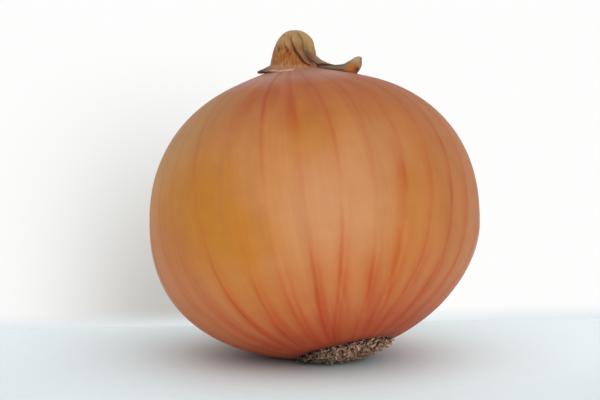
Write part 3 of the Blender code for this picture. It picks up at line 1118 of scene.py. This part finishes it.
class ONION_OT_collar(Operator):
    """Make the torn collar that lies on the skin round the stem"""

    bl_idname = "onion.collar"
    bl_label = "Collar"

    def execute(self, context):
        scene = context.scene
        piece = leaf_piece("neck_collar", collar_rows())
        finish = make_leaf_finish("onion_collar", scene.onion_neck, paint_collar)
        run_tree(piece, make_wrap_tree(scene.onion_shape), scene.onion_shape, finish)
        onto_body(piece, "neck")
        return {"FINISHED"}


# Roots

# The bed's edge as a share of the hollow's angle, and the rings of its inner side as shares of the bed
BED_EDGE = 0.95
BED_INNER = (0.95, 0.8, 0.5, 0.1)
BED_COLUMNS = 160
BED_RINGS = 28
# X where painted shadow on the roots begins, and where it is darkest
SHADED_ROOTS = (0.008, -0.003)
BED_RISE = 0.0007
BED_RIM = 0.0004
BED_LUMP = 0.00035
BED_RADIUS = 0.0148
# Most roots in a square metre, before their least distance thins them
ROOT_DENSITY = 6e6
ROOT_STEPS = 8
ROOT_SIDES = 4
# The shortest and the longest root as shares of the length, and how much thinner a root's end is
ROOT_SCALES = (0.55, 1.3)
ROOT_TAPER = 0.6
CURL_GRAIN = 800.0
# Least height of the roots over the table
ROOT_FLOOR = 0.00005


def bed_rings():
    """Rings of the root bed on the unit sphere: its bumpy outside, then back through the bulb's hollow."""
    rings = []
    for i in range(BED_RINGS):
        share = math.sin(math.pi / 2 * (i + 0.3) / (BED_RINGS - 0.7))
        rings.append(bed_ring(share, BED_RIM + BED_RISE * (1 - share * share), BED_LUMP))
    for share in BED_INNER:
        rings.append(bed_ring(share, -BASIN_DEPTH / 2, 0.0))
    return rings


def bed_ring(share, lift, lump):
    """One ring at a share of the bed's width, lifted off the sphere, with lumps of the given height."""
    polar = BASIN_ANGLE * BED_EDGE * share
    ring = []
    for k in range(BED_COLUMNS):
        turn = math.tau * k / BED_COLUMNS
        rough = noise.noise(unit_point(polar, turn) * 42) * lump
        ring.append(unit_point(polar, turn, lift + rough))
    return ring


def make_root_tree(roots, centre_height):
    """Nodes that set a curled, tapering root on many points of the bed's outside."""
    tree, size = start_tree("Grow roots", roots)
    position = add(tree, "GeometryNodeInputPosition")
    points, normal = bed_points(tree, size, position, centre_height)
    outward = position.vector("SUBTRACT", bed_middle(tree, size.geometry, position))
    outward = outward.vector("SCALE", None, None, size.lean / BED_RADIUS)
    stray = random_value(tree, 1, (-1, -1, -1), (1, 1, 1)).vector("SCALE", None, None, size.tangle)
    standing = stray.vector("DOT_PRODUCT", normal, out=1) * size.matted
    stray = stray.vector("SUBTRACT", normal.vector("SCALE", None, None, standing))
    heading = normal.vector("SCALE", None, None, size.rise).vector("ADD", outward).vector("ADD", stray)
    rotation = add(tree, "FunctionNodeAlignRotationToVector", None, 1.0, heading, axis="Z")
    grown = add(tree, "GeometryNodeInstanceOnPoints", points)
    sockets = [grown.socket.node.inputs[name] for name in ("Instance", "Rotation", "Scale")]
    feed(tree, sockets, (one_root(tree, size), rotation, random_value(tree, 2, *ROOT_SCALES)))
    toned = keep(tree, grown, "root_tone", random_value(tree, 3, 0.0, 1.0), "INSTANCE")
    real = add(tree, "GeometryNodeRealizeInstances", toned)
    bend = grain(position, CURL_GRAIN, 1.0, out=1).vector("SUBTRACT", (0.5, 0.5, 0.5))
    offset = bend.vector("SCALE", None, None, named(tree, "root_along") * size.curl * 2.0)
    curled = add(tree, "GeometryNodeSetPosition", real, None, None, offset)
    x, y, z = add(tree, "GeometryNodeInputPosition").parts()
    floor = joined(tree, x, y, z.math("MAXIMUM", ROOT_FLOOR))
    return end_tree(tree, add(tree, "GeometryNodeSetPosition", curled, None, floor), size.material)


def bed_points(tree, size, position, centre_height):
    """Points over the bed's outside, and the bed's direction there."""
    x, y, z = position.parts()
    from_centre = joined(tree, x, y, z - centre_height)
    outer = add(tree, "GeometryNodeInputNormal").vector("DOT_PRODUCT", from_centre, out=1)
    chosen = outer.math("GREATER_THAN", 0.0)
    kind = "GeometryNodeDistributePointsOnFaces"
    scatter = add(tree, kind, size.geometry, chosen, distribute_method="POISSON").socket.node
    sockets = [scatter.inputs[name] for name in ("Distance Min", "Density Max", "Seed")]
    feed(tree, sockets, (size.spacing, ROOT_DENSITY, size.seed))
    return Term(tree, scatter.outputs["Points"]), Term(tree, scatter.outputs["Normal"])


def bed_middle(tree, geometry, position):
    """The mean place of the bed's points."""
    node = add(tree, "GeometryNodeAttributeStatistic", geometry, data_type="FLOAT_VECTOR").socket.node
    vector_in = [socket for socket in node.inputs if socket.type == "VECTOR"][0]
    tree.links.new(position.socket, vector_in)
    return Term(tree, [socket for socket in node.outputs if socket.name == "Mean"][-1])


def one_root(tree, size):
    """A straight root along Z: a slim tube that tapers, with the share of its length kept on it."""
    end = joined(tree, 0.0, 0.0, size.length)
    line = add(tree, "GeometryNodeCurvePrimitiveLine", (0.0, 0.0, 0.0), end)
    cut = add(tree, "GeometryNodeResampleCurve", line, None, ROOT_STEPS)
    along = add(tree, "GeometryNodeSplineParameter")
    kept = keep(tree, cut, "root_along", along)
    thin = add(tree, "GeometryNodeSetCurveRadius", kept, None, along * -ROOT_TAPER + 1.0)
    profile = add(tree, "GeometryNodeCurvePrimitiveCircle", ROOT_SIDES)
    tree.links.new(size.thickness.socket, profile.socket.node.inputs["Radius"])
    tube = add(tree, "GeometryNodeCurveToMesh", thin, profile)
    tube.socket.node.inputs["Fill Caps"].default_value = True
    return tube


def random_value(tree, seed, low, high):
    """A random number for each point between two numbers, or a vector between two vectors."""
    first, out, kind = (2, 1, "FLOAT") if isinstance(low, float) else (0, 0, "FLOAT_VECTOR")
    node = add(tree, "FunctionNodeRandomValue", data_type=kind).socket.node
    feed(tree, [*node.inputs[first : first + 2], node.inputs["Seed"]], (low, high, seed))
    return Term(tree, node.outputs[out])


def make_root_finish(roots):
    """Dry roots: some bleached, with painted shade at their feet and over their left side, and fine spots.
    """
    made, tree, shader = finish_shader("onion_roots")
    place = object_place(tree)
    spots = grain(place, 1100.0, 3.0)
    base = painted(
        mixed(tree, attribute(tree, "root_tone").step(0.35, 0.95), roots.husk, roots.bleached),
        (0.5, grey(spots), "OVERLAY"),
        # Painted shade at each root's foot, and painted shadow over the roots on the left, in the bulb's
        # contact shadow
        (attribute(tree, "root_along").step(0.7, 0.1) * 0.92, roots.root_shade),
        (place.parts()[0].step(*SHADED_ROOTS) * 0.7, roots.root_shade),
    )
    relief(tree, shader, spots, 0.0001, 0.6)
    end_shader(tree, shader, base, spots * 0.2 + 0.72, 0.2)
    return made


def make_bed_finish(roots):
    """The bed between the roots: painted dark as the shade between them, with crusted paler lumps."""
    made, tree, shader = finish_shader("onion_root_bed")
    crust = grain(object_place(tree), 700.0, 4.0)
    relief(tree, shader, crust, 0.0004, 0.8)
    base = mixed(tree, crust.step(0.5, 0.72), roots.root_shade, roots.husk)
    end_shader(tree, shader, base, crust * 0.2 + 0.75)
    return made


class ONION_OT_roots(Operator):
    """Make the root bed in the bulb's hollow, and grow the clipped roots on it"""

    bl_idname = "onion.roots"
    bl_label = "Roots"

    def execute(self, context):
        scene = context.scene
        roots, shape = scene.onion_roots, scene.onion_shape
        bed = ringed_piece("root_bed", bed_rings())
        run_tree(bed, make_wrap_tree(shape), shape, make_bed_finish(roots))
        tuft = bpy.data.objects.new("root_tuft", bed.data.copy())
        scene.collection.objects.link(tuft)
        run_tree(tuft, make_root_tree(roots, shape.centre_height), roots, make_root_finish(roots))
        for piece in (bed, tuft):
            onto_body(piece, "root_plate")
        return {"FINISHED"}


# Stage

PIXELS_WIDE = 600
PIXELS_HIGH = 400
SENSOR_WIDTH = 36.0
# Where the bulb's centre stands in the picture
CENTRE_PIXEL = (314.6, 221.6)
FLOOR_SIZE = 4.0
WALL_SIZE = (1.0, 0.5)
# The onion's shadow on the wall: its middle across, its width and its top; and where the painted shade
# along the wall's foot ends
SHADE_AT = -0.045
SHADE_WIDTH = 0.033
SHADE_TOP = 0.095
FOOT_SHADE_TOP = 0.006
# Y where painted shade on the table begins towards the camera, and where it is full
NEAR_SHADE = (0.02, -0.06)
KEY_PLACE = (0.08, -0.65, 0.24)
KEY_SIZE = 0.55
KEY_TINT = (1.0, 0.985, 0.96)
TABLE_LIGHT_PLACE = (0.30, -0.72, 1.0)
TABLE_LIGHT_SPREAD = math.radians(110)


def plane(name, corners, finish):
    """A flat piece of the stage."""
    mesh = bpy.data.meshes.new(name)
    mesh.from_pydata(corners, [], [(0, 1, 2, 3)])
    mesh.materials.append(finish)
    piece = bpy.data.objects.new(name, mesh)
    bpy.context.scene.collection.objects.link(piece)
    return piece


def make_table_finish(stage):
    """Painted board with a faint grain, and painted shade that darkens it towards the camera."""
    made, tree, shader = finish_shader("table")
    place = object_place(tree)
    # Painted shade: the table darker towards the camera
    near = place.parts()[1].step(*NEAR_SHADE)
    base = painted(
        mixed(tree, near, stage.table, stage.table_near_shade), (0.05, grey(grain(place, 260.0, 3.0)), "OVERLAY")
    )
    end_shader(tree, shader, base, 0.55, 0.25)
    return made


def make_wall_finish(stage):
    """A bright wall with the onion's faint shadow and painted shade along its foot; from behind, a view
    looks through it.
    """
    made, tree, shader = finish_shader("wall")
    tree.nodes.remove(shader)
    place = object_place(tree)
    x, _, z = place.parts()
    tint = painted(
        mixed(tree, 0.05, stage.wall, grey(grain(place, 180.0, 3.0)), "OVERLAY"),
        ((x - SHADE_AT).bell(SHADE_WIDTH) * z.step(SHADE_TOP, 0.0), stage.wall_shade),
        # Painted shade along the wall's foot
        (z.step(FOOT_SHADE_TOP, -0.3 * FOOT_SHADE_TOP), stage.wall_foot_shade),
    )
    glow = add(tree, "ShaderNodeEmission", tint, 1.0)
    clear = add(tree, "ShaderNodeBsdfTransparent")
    behind = Term(tree, tree.nodes.new("ShaderNodeNewGeometry").outputs["Backfacing"])
    both = add(tree, "ShaderNodeMixShader", behind, glow, clear)
    tree.links.new(both.socket, tree.nodes["Material Output"].inputs["Surface"])
    lay_out(tree)
    return made


def add_light(name, kind, place, aim, power):
    """A light at a place, turned to where it aims."""
    data = bpy.data.lights.new(name, kind)
    data.energy = power
    light = bpy.data.objects.new(name, data)
    light.location = place
    light.rotation_euler = (Vector(aim) - Vector(place)).to_track_quat("-Z", "Y").to_euler()
    bpy.context.scene.collection.objects.link(light)
    return light


def light_link(light, piece, state):
    """The light falls on this piece alone, or on all but it; every piece still casts its shadow."""
    lit = bpy.data.collections.new("lit by " + light.name)
    lit.objects.link(piece)
    lit.collection_objects[0].light_linking.link_state = state
    light.light_linking.receiver_collection = lit


def light_sky(stage):
    """White to the camera, and a softer white light on the onion, stronger from above."""
    world = bpy.data.worlds.new("sky")
    world.use_nodes = True
    tree = world.node_tree
    background = tree.nodes["Background"]
    seen = add(tree, "ShaderNodeLightPath")
    up = add(tree, "ShaderNodeTexCoord").parts()[2]
    soft = up.step(-0.2, 1.0) * (stage.overhead - stage.sky) + stage.sky
    power = seen * (-soft + 1.0) + soft
    tree.links.new(power.socket, background.inputs["Strength"])
    background.inputs["Color"].default_value = (1.0, 1.0, 1.0, 1.0)
    bpy.context.scene.world = world


def place_camera(stage, centre):
    """The photograph's view: a little down, with the bulb's centre off the picture's middle."""
    per_pixel = stage.distance * SENSOR_WIDTH / stage.focal / PIXELS_WIDE
    e = stage.elevation
    forward = Vector((0, math.cos(e), -math.sin(e)))
    upward = Vector((0, math.sin(e), math.cos(e)))
    across = (CENTRE_PIXEL[0] - PIXELS_WIDE / 2) * per_pixel
    down = (CENTRE_PIXEL[1] - PIXELS_HIGH / 2) * per_pixel
    data = bpy.data.cameras.new("camera")
    data.lens = stage.focal
    data.sensor_width = SENSOR_WIDTH
    camera = bpy.data.objects.new("camera", data)
    camera.location = centre - forward * stage.distance - Vector((across, 0, 0)) + upward * down
    camera.rotation_euler = (math.pi / 2 - e, 0, 0)
    bpy.context.scene.collection.objects.link(camera)
    bpy.context.scene.camera = camera


class ONION_OT_stage(Operator):
    """Make the table, the wall, the soft lights and the camera"""

    bl_idname = "onion.stage"
    bl_label = "Stage"

    def execute(self, context):
        scene = context.scene
        stage = scene.onion_stage
        half = FLOOR_SIZE / 2
        corners = [(-half, -half, 0), (half, -half, 0), (half, half, 0), (-half, half, 0)]
        table = plane("table", corners, make_table_finish(stage))
        wide, tall = WALL_SIZE[0] / 2, WALL_SIZE[1]
        slope = wide * math.tan(stage.wall_turn)
        near, far = stage.wall_distance - slope, stage.wall_distance + slope
        corners = [(-wide, near, 0), (wide, far, 0), (wide, far, tall), (-wide, near, tall)]
        wall = plane("wall", corners, make_wall_finish(stage))
        wall.visible_shadow = False
        wall.visible_diffuse = False
        centre = Vector((0, 0, scene.onion_shape.centre_height))
        key = add_light("key", "AREA", KEY_PLACE, centre, stage.key_power)
        key.data.shape = "DISK"
        key.data.size = KEY_SIZE
        key.data.color = KEY_TINT
        above = add_light("table light", "SUN", TABLE_LIGHT_PLACE, (0, 0, 0), stage.table_power)
        above.data.angle = TABLE_LIGHT_SPREAD
        light_link(above, table, "INCLUDE")
        light_link(key, table, "EXCLUDE")
        light_sky(stage)
        place_camera(stage, centre)
        scene.view_settings.view_transform = "Standard"
        return {"FINISHED"}


PIECES = (ONION_OT_bulb, ONION_OT_stem, ONION_OT_tail, ONION_OT_collar, ONION_OT_roots, ONION_OT_stage)


class ONION_PT_panel(Panel):
    """The onion's operators and their sizes and colours"""

    bl_idname = "ONION_PT_panel"
    bl_label = "Onion"
    bl_space_type = "VIEW_3D"
    bl_region_type = "UI"
    bl_category = "Onion"

    def draw(self, context):
        for maker in PIECES:
            self.layout.operator(maker.bl_idname)
        for key, group in GROUPS.items():
            box = self.layout.box()
            box.label(text=group.__doc__)
            for prop in group.__annotations__:
                box.prop(getattr(context.scene, key), prop)


CLASSES = (*GROUPS.values(), *PIECES, ONION_PT_panel)


def register():
    for kind in CLASSES:
        bpy.utils.register_class(kind)
    for key, group in GROUPS.items():
        setattr(bpy.types.Scene, key, PointerProperty(type=group))


def unregister():
    for key in GROUPS:
        delattr(bpy.types.Scene, key)
    for kind in reversed(CLASSES):
        bpy.utils.unregister_class(kind)


def main():
    register()
    bpy.ops.onion.bulb()
    bpy.ops.onion.stem()
    bpy.ops.onion.tail()
    bpy.ops.onion.collar()
    bpy.ops.onion.roots()
    bpy.ops.onion.stage()
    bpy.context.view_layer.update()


if __name__ == "__main__":
    main()
